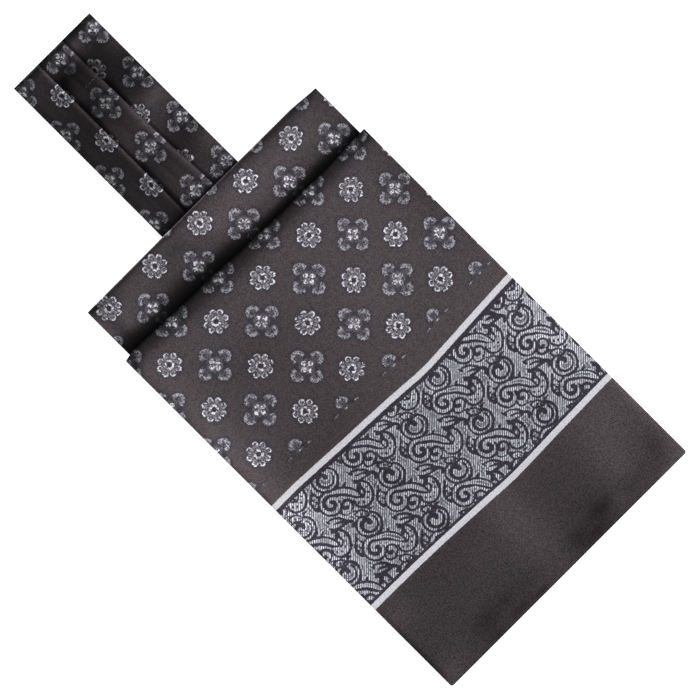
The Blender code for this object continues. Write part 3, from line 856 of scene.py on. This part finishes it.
def folded_lengths(material):
    """The edges of the layers that lie between the blades, round a closed stack."""
    half, corner = FOLDED_HALF_WIDTH, FOLDED_CORNER
    end, top = FOLDED_TOP[0].y, FOLDED_TOP[-1].y
    outline = []
    for x, y, start in (
        (half - corner, top - corner, 0),
        (-half + corner, top - corner, 90),
        (-half + corner, end + corner, 180),
        (half - corner, end + corner, 270),
    ):
        angles = np.radians(np.linspace(start, start + 90, 7))
        outline += [(x + corner * math.cos(a), y + corner * math.sin(a)) for a in angles]
    ring, places = through([*outline, outline[0]], 1.0)
    out = side_of(ring)
    around = places / places[-1] * 2 * math.pi
    levels = np.linspace(0, 1, 6 * LAYERS + 1)
    layer = np.minimum((levels * LAYERS).astype(int), LAYERS - 1)
    bulge = np.sqrt(abs(np.sin(levels * LAYERS * math.pi)))
    height = stack_top(*ring.T)
    floor = (WALL + GAP) / MM
    rows = []
    for share, k, swell in zip(levels, layer, bulge):
        uneven = 0.55 * np.sin(around * (3 + k) + 1.7 * k) + 0.3 * np.sin(around * 11 + 2.3 * k) - 0.45
        spot = ring + out * ((0.9 * swell + uneven * smooth(0, 0.3, swell))[:, None])
        rows.append(np.column_stack((spot, floor + share * (height - floor))))
    middle = np.array((0.0, (top + end) / 2))
    bottom, lid = [], []
    for share in (0.97, 0.85, 0.65, 0.4, 0.15, 0.0):
        low, high = [middle + (row[:, :2] - middle) * share for row in (rows[0], rows[-1])]
        bottom.append(np.column_stack((low, np.full(len(low), floor))))
        lid.append(np.column_stack((high, stack_top(*high.T))))
    points = np.array([*reversed(bottom), *rows, *lid])
    # Painted shade: the stack between the blades is painted darker
    shade = np.full(points.shape[:2], 0.6)
    stack = grid_mesh("folded_lengths_silk", points * MM, material, points[..., :2], True, shade=shade)
    weld(stack.data)
    return stack


# ---- Materials ----


class Number:
    """A number that a material works out at each place, with Python's own operators."""

    def __init__(self, tree, socket):
        self.tree = tree
        self.socket = socket

    def math(self, operation, *others, clamp=False):
        node = self.tree.nodes.new("ShaderNodeMath")
        node.operation = operation
        node.use_clamp = clamp
        for entry, value in zip(node.inputs, (self, *others)):
            if isinstance(value, Number):
                self.tree.links.new(value.socket, entry)
            else:
                entry.default_value = value
        return Number(self.tree, node.outputs[0])

    __add__ = __radd__ = partialmethod(math, "ADD")
    __mul__ = __rmul__ = partialmethod(math, "MULTIPLY")
    __sub__ = partialmethod(math, "SUBTRACT")
    __rsub__ = partialmethod(math, "MULTIPLY_ADD", -1.0)
    __truediv__ = partialmethod(math, "DIVIDE")
    __pow__ = partialmethod(math, "POWER")
    __abs__ = partialmethod(math, "ABSOLUTE")
    least = partialmethod(math, "MINIMUM")
    most = partialmethod(math, "MAXIMUM")

    def wrap(self, half):
        """The number brought into -half to half by whole periods."""
        return self.math("WRAP", half, -half)

    def waves(self, period):
        """Waves from -1 to 1, one in each period."""
        return (self * (2 * math.pi / period)).math("SINE")

    def within(self, gain=1.0):
        """The number times gain, kept from 0 to 1."""
        return self.math("MULTIPLY", gain, clamp=True)

    def step(self, soft):
        """0 below nought, 1 above it, and a straight run between over a width of soft."""
        return self.math("MULTIPLY_ADD", 1.0 / soft, 0.5, clamp=True)


def length(a, b):
    return (a * a + b * b).math("SQRT")


def linear(colour):
    """A colour as looked at, as the linear one that gives it in the scene's light."""
    return (*(((value / 255 + 0.055) / 1.055) ** 2.4 / LIGHT_GAIN for value in colour), 1.0)


def set_inputs(node, values):
    """Gives a node's inputs their values by name."""
    for name, value in values.items():
        node.inputs[name].default_value = value


def new_material(name):
    material = bpy.data.materials.new(name)
    material.use_nodes = True
    return material, material.node_tree, material.node_tree.nodes["Principled BSDF"]


def attribute(tree, name):
    node = tree.nodes.new("ShaderNodeAttribute")
    node.attribute_name = name
    return Number(tree, node.outputs["Fac"])


def cloth_place(tree):
    """The cloth's own coordinates, as a vector socket and as two numbers in millimetres."""
    node = tree.nodes.new("ShaderNodeUVMap")
    node.uv_map = "cloth"
    parts = tree.nodes.new("ShaderNodeSeparateXYZ")
    tree.links.new(node.outputs["UV"], parts.inputs[0])
    return node.outputs["UV"], Number(tree, parts.outputs["X"]), Number(tree, parts.outputs["Y"])


def noise(tree, place, size, detail, rough):
    """Soft noise whose blotches are about size millimetres across."""
    mapping = tree.nodes.new("ShaderNodeMapping")
    mapping.inputs["Scale"].default_value = (1.0 / size, 1.0 / size, 1.0)
    node = tree.nodes.new("ShaderNodeTexNoise")
    node.noise_dimensions = "2D"
    set_inputs(node, {"Scale": 1.0, "Detail": detail, "Roughness": rough})
    tree.links.new(place, mapping.inputs["Vector"])
    tree.links.new(mapping.outputs[0], node.inputs["Vector"])
    return Number(tree, node.outputs["Fac"])


def feed(tree, entry, colour):
    """Gives an entry a colour, which is a socket or a colour as looked at."""
    if isinstance(colour, tuple):
        entry.default_value = linear(colour)[: len(entry.default_value)]
    else:
        tree.links.new(colour, entry)


def mix(share, first, second):
    """A colour socket between two colours."""
    node = share.tree.nodes.new("ShaderNodeMix")
    node.data_type = "RGBA"
    node.clamp_factor = True
    share.tree.links.new(share.socket, node.inputs["Factor"])
    for entry, colour in zip([i for i in node.inputs if i.type == "RGBA"], (first, second)):
        feed(share.tree, entry, colour)
    return next(o for o in node.outputs if o.type == "RGBA")


def scaled(colour, share):
    """A colour socket from a colour times a number."""
    node = share.tree.nodes.new("ShaderNodeVectorMath")
    node.operation = "SCALE"
    feed(share.tree, node.inputs[0], colour)
    share.tree.links.new(share.socket, node.inputs["Scale"])
    return node.outputs[0]


def in_lattice(u, v, place):
    """Each place from the middle of its nearest motif."""
    return (u - place[0]).wrap(PITCH_U / 2), (v - place[1]).wrap(PITCH_V / 2)


def rosette(u, v, floats, dots):
    """Eight ring petals round a dark eye: how light it is woven, and how far inside it a place lies.
    Its measures are in millimetres from its middle."""
    a, b = in_lattice(u, v, ROSETTE_AT)
    far = length(a, b)
    sector = math.pi / 8
    turn = (b.math("ARCTAN2", a) - sector).wrap(sector)
    along = far * turn.math("COSINE")
    aside = abs(far * turn.math("SINE"))
    petal = 1.62 - length((along - 4.80) * 0.95, aside)
    crescent = 0.40 - abs(length(along - 4.72, aside) - 1.17)
    outer = (along - 3.6).within(0.5)
    stalk = 1.4 - abs(far - 3.3)
    ring = 0.64 - abs(far - 1.86)
    eye = abs(a) + abs(b) - 1.40
    light = petal.step(0.4) * (0.26 + 0.20 * dots)
    light = light.most(crescent.step(0.4) * (0.53 + 0.50 * outer) * (0.72 + 0.40 * dots))
    light = light.most(stalk.step(0.8) * (0.22 + 0.32 * floats))
    light = light.most(ring.step(0.5) * (0.50 + 0.55 * dots)) * eye.step(0.3)
    return light, petal.most(2.8 - far)


def flower(u, v, floats, dots):
    """Four domed petals round a floret, in the same way."""
    a, b = in_lattice(u, v, FLOWER_AT)
    a, b = abs(a), abs(b)
    along, aside = a.most(b), a.least(b)
    dome = (1 - length((along - 5.55) / 4.0, aside / 3.6)) * 3.6
    petal = dome.least(along - aside * 0.35 - 4.1)
    hollow = 1.4 - length((along - 6.1).most(0.0), aside)
    rim = 0.7 - abs(dome - 0.9)
    light = petal.step(0.4) * (0.24 + 0.18 * floats + 0.20 * dots + 0.14 * rim.step(0.8))
    light = light * (1 - 0.42 * hollow.step(0.9))
    lobe = 1.24 - length(along - 2.12, aside)
    heart = 2.0 - length(along, aside)
    haze = 4.9 - along - aside * 0.6
    light = light.most(lobe.step(0.4) * (0.48 + 0.60 * dots)).most(heart.step(0.6) * (0.34 + 0.26 * dots))
    return light.most(haze.step(1.8) * 0.33), petal.most(3.8 - along)


def figured_silk():
    """Dark satin with silver flowers, stripes and a scrolled border woven in."""
    material, tree, shader = new_material("figured_silk")
    place, u, v = cloth_place(tree)
    # The painted light and shade of each piece, from its attribute
    shade = attribute(tree, "shade")

    def soft(size, detail, rough):
        return noise(tree, place, size, detail, rough)

    # The satin's own grain, from fine to broad
    grain = soft(0.80, 3.0, 0.70) - 0.5
    speck = soft(0.85, 2.0, 0.6) - 0.5
    dotted = soft(1.3, 1.0, 0.5) - 0.5
    blotch = soft(2.6, 2.0, 0.6) - 0.5
    swell = soft(11.0, 1.0, 0.5) - 0.5
    drift = soft(26.0, 3.0, 0.55) - 0.5
    twill = (u * 0.8 + v * 1.2).waves(TWILL)
    plain_end = (BORDER_END - 2 - v).step(2.0)
    woven = (1 + grain * (2.2 + 0.6 * plain_end) + blotch * 0.6 + twill * 0.03 + drift * 0.35).most(0.1)

    # Rosettes and flowers, ragged at their edges, each in a darker halo
    ragged_u = u + speck * 1.6
    ragged_v = v + blotch * 1.0 + grain * 1.0
    floats = u.waves(FLOATS) * 0.5 + 0.5
    dots = (0.72 + 4.5 * dotted).within()
    rosette_light, rosette_depth = rosette(ragged_u, ragged_v, floats, dots)
    flower_light, flower_depth = flower(ragged_u, ragged_v, floats, dots)
    shown = (v - FLOWERS_END).step(0.5)
    broken = (0.84 + 3.2 * speck + 1.0 * blotch + 2.2 * grain).within()
    figure = rosette_light.most(flower_light) * shown * broken
    halo = (rosette_depth.most(flower_depth) + 0.7).step(2.0) * shown
    ground = mix(drift * 2.2 + 0.5, GROUND, GROUND_SHADE)
    # The ground takes the painted light and shade in full; the silver is dimmed less by it where it is dark
    ground = scaled(mix(halo * 0.8, ground, HALO), woven * shade)
    lit = shade**0.53 * (shade * 4.5 + 0.05).least(1.0)
    colour = mix(figure**2.1, ground, scaled(SILVER, lit.most(shade)))

    # The border: hatching that comes and goes, with a bright rim and a broken dark echo along the
    # scrolls' dark lines
    ragged = speck * 0.8 + soft(4.5, 2.0, 0.5) * 0.6 + swell * 0.45 - 0.35
    inside = (BORDER_TOP - v + ragged).step(0.4).least((v - BORDER_END + ragged).step(0.4))
    wobble = soft(6.0, 2.0, 0.5)
    hatch = ((u - v) * math.sqrt(0.5) + wobble * 0.5).waves(HATCH_PITCH)
    depth = (soft(4.0, 1.0, 0.5) * 3.0 - 0.5).most(0.35).least(1.3)
    hatch = hatch * depth * 0.5 + 0.5
    outside = attribute(tree, "scroll") + ragged
    scroll = outside.step(0.30) * inside
    rim = (1 - abs(outside - 0.45) * 2.2).most(0.0)
    echo = (0.22 - abs(outside - 1.05)).step(0.35) * (0.5 + swell * 8.0 + speck * 3.0).most(0.0).least(0.9)
    bright = hatch * (1.0 + 1.5 * speck + 1.2 * blotch) * (0.80 + 0.32 * rim)
    fill = mix(bright.most(0.0) ** 1.7, SCROLL_GREY, SCROLL_LIGHT)
    dark = scaled(SCROLL_DARK, (1 + grain * 2.2 + blotch * 0.8).most(0.2))
    border = mix(scroll * (1 - echo), dark, fill)
    border_zone = (BORDER_TOP + 2.4 - v).step(0.6) * (v - (BORDER_END - 2.0)).step(0.6)
    # The border takes the painted light and shade too
    colour = mix(border_zone, colour, scaled(border, (1 + grain * 0.6 + swell * 0.3) * shade))

    # The two ribbed stripes
    rib = v.waves(RIBS) * 0.5 + 0.5
    upper, lower = [(STRIPE_HALF - abs(v - middle) + speck * 0.35).step(0.22) for middle in STRIPES]
    stripe = upper.most(lower)
    pale = mix(rib * 0.5 + grain * 2.2 + speck * 1.4 + 0.3, STRIPE_RIB, STRIPE)
    # The stripes take a little of the painted light and shade
    colour = mix(stripe, colour, scaled(pale, shade**0.25))

    tree.links.new(colour, shader.inputs["Base Color"])
    rough = 0.38 - 0.06 * figure + grain * 0.12
    tree.links.new(rough.socket, shader.inputs["Roughness"])
    shader.inputs["Specular IOR Level"].default_value = 0.06
    add_bump(shader, grain * 0.8 + twill * 0.10 + figure * 0.5 + scroll * 0.4 + stripe * 0.5)
    return material


def add_bump(shader, height):
    """Bumps of up to 0.06 mm on a material, from a height of 0 to 1."""
    bump = height.tree.nodes.new("ShaderNodeBump")
    set_inputs(bump, {"Strength": 0.35, "Distance": 0.06 * MM})
    height.tree.links.new(height.socket, bump.inputs["Height"])
    height.tree.links.new(bump.outputs["Normal"], shader.inputs["Normal"])


def plain_silk():
    """The backing's plain dark twill."""
    material, tree, shader = new_material("silk_backing")
    place, u, v = cloth_place(tree)
    grain = noise(tree, place, 0.9, 3.0, 0.6)
    drift = noise(tree, place, 18.0, 3.0, 0.55)
    twill = (u + v).waves(BACKING_TWILL)
    colour = mix(drift, BACKING, tuple(value * 0.88 for value in BACKING))
    # Its grain and twill, dimmed by the painted shade of its attribute
    light = (1 + (grain - 0.5) * 0.5 + twill * 0.05) * (0.4 + 0.6 * attribute(tree, "shade"))
    tree.links.new(scaled(colour, light), shader.inputs["Base Color"])
    set_inputs(shader, {"Roughness": 0.55, "Specular IOR Level": 0.25, "Sheen Weight": 0.10})
    add_bump(shader, grain * 0.6 + twill * 0.3)
    return material


def thread():
    """The tack's silk thread, twisted."""
    material, tree, shader = new_material("tack_thread")
    node = tree.nodes.new("ShaderNodeTexCoord")
    parts = tree.nodes.new("ShaderNodeSeparateXYZ")
    tree.links.new(node.outputs["Object"], parts.inputs[0])
    x, y = Number(tree, parts.outputs["X"]), Number(tree, parts.outputs["Y"])
    twist = (x + y * 1.5).waves(THREAD_TWIST * MM) * 0.5 + 0.5
    tree.links.new(mix(twist, tuple(v * 0.7 for v in THREAD), THREAD), shader.inputs["Base Color"])
    shader.inputs["Roughness"].default_value = 0.45
    return material


# ---- Sewing, stage and camera ----


def tack(material):
    """The stitches that hold the pleats across the neckband."""
    curve, _ = band_curve()
    surface = curve - side_of(curve) * HALF_WALL
    start = int(np.argmin(abs(curve[:, 0] - PLEAT_EDGES[0]) + abs(curve[:, 1] - BAND_BASE)))
    x, z = surface[start:].T
    crest = int(np.argmax(x > PLEAT_EDGES[1] - 0.9)) + 1
    around = range(TACK_SIDES)
    points, faces = [], []
    for first, last in TACK_STITCHES:
        base = len(points)
        for k, spot in enumerate(np.linspace(first, last, TACK_SIDES + 1)):
            swell = math.sin(math.pi * k / TACK_SIDES)
            y = TACK_Y + 0.15 * math.sin(2.1 * spot)
            height = float(np.interp(spot, x[:crest], z[:crest])) - 0.16 + 0.30 * swell**0.5
            radius = TACK_RADIUS * (0.35 + 0.65 * swell**0.4)
            for side in around:
                a = side * 2 * math.pi / TACK_SIDES
                ring = (spot, y + radius * math.cos(a), height + radius * math.sin(a))
                points.append([value * MM for value in ring])
        for k in around:
            for side in around:
                after = (side + 1) % TACK_SIDES
                corners = ((k, side), (k + 1, side), (k + 1, after), (k, after))
                faces.append([base + TACK_SIDES * row + column for row, column in corners])
        faces.append([base + side for side in around])
        faces.append([base + TACK_SIDES**2 + side for side in reversed(around)])
    return new_piece("tack_stitches", points, faces, material)


VIEW_MIDDLE = (0.0, -27.2 * MM)
VIEW_WIDTH = 338.4 * MM
CAMERA_HEIGHT = 3.0
VIEW_TURN = math.radians(-45)
CLOTH_HEIGHT = 4 * MM  # of the cloth that fills the view
SOFTBOXES = table(
    "turn rise power size",  # degrees round from +X and above the horizon, watts and metres
    (45, 42, 9, 0.7), (135, 42, 7, 0.7), (225, 42, 6, 0.7), (315, 42, 7, 0.7),
)
LIGHT_DISTANCE = 1.3
FLOOR_GLOW = 0.6  # of the lit table under the cloth
FLOOR_REACH, FLOOR_LOW = 3.0, -0.1 * MM


def make_camera():
    data = bpy.data.cameras.new("camera")
    data.sensor_width = 36.0
    data.lens = data.sensor_width * (CAMERA_HEIGHT - CLOTH_HEIGHT) / VIEW_WIDTH
    data.clip_end = 20.0
    camera = linked("camera", data)
    camera.location = (*VIEW_MIDDLE, CAMERA_HEIGHT)
    camera.rotation_euler = (0.0, 0.0, VIEW_TURN)
    bpy.context.scene.camera = camera


def make_light():
    world = bpy.data.worlds.new("studio")
    world.use_nodes = True
    set_inputs(world.node_tree.nodes["Background"], {"Color": (1.0, 1.0, 1.0, 1.0), "Strength": 0.25})
    bpy.context.scene.world = world
    for number, box in enumerate(SOFTBOXES):
        data = bpy.data.lights.new(f"softbox_{number}", "AREA")
        data.energy = box.power
        data.size = box.size
        lamp = linked(data.name, data)
        turn, rise = math.radians(box.turn), math.radians(box.rise)
        away = (math.cos(turn) * math.cos(rise), math.sin(turn) * math.cos(rise), math.sin(rise))
        lamp.location = tuple(LIGHT_DISTANCE * share for share in away)
        lamp.rotation_euler = (0.0, math.pi / 2 - rise, turn)


def make_floor():
    """A pale table, a little under the cloth, that glows as if lit from below."""
    material, _, shader = new_material("pale_floor")
    set_inputs(shader, {
        "Base Color": (0.92, 0.92, 0.92, 1.0),
        "Roughness": 0.9,
        "Specular IOR Level": 0.1,
        "Emission Color": (1.0, 1.0, 1.0, 1.0),
        "Emission Strength": FLOOR_GLOW,
    })
    corners = [(x * FLOOR_REACH, y * FLOOR_REACH, FLOOR_LOW) for x, y in ((-1, -1), (1, -1), (1, 1), (-1, 1))]
    new_piece("floor", corners, [(0, 1, 2, 3)], material)


def main():
    make_camera()
    make_light()
    make_floor()
    bpy.context.scene.view_settings.view_transform = "Standard"
    silk, backing = figured_silk(), plain_silk()
    front_silk, front_backing = blade_pieces("front_blade", silk, backing, True)
    back_silk, back_backing = blade_pieces("back_blade", silk, backing, False)
    band_front, band_back = neckband(silk)
    folded = folded_lengths(backing)
    stitches = tack(thread())
    for piece, node, slot in (
        (front_silk, "front_blade", "figured_silk"),
        (front_backing, "front_blade", "silk_backing"),
        (back_silk, "back_blade", "figured_silk"),
        (back_backing, "back_blade", "silk_backing"),
        (band_front, "neckband_front", "figured_silk"),
        (band_back, "neckband_back", "figured_silk"),
        (folded, "folded_lengths", "silk_backing"),
        (stitches, None, "figured_silk"),
    ):
        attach(piece, "root")
        if node:
            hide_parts(node)


main()
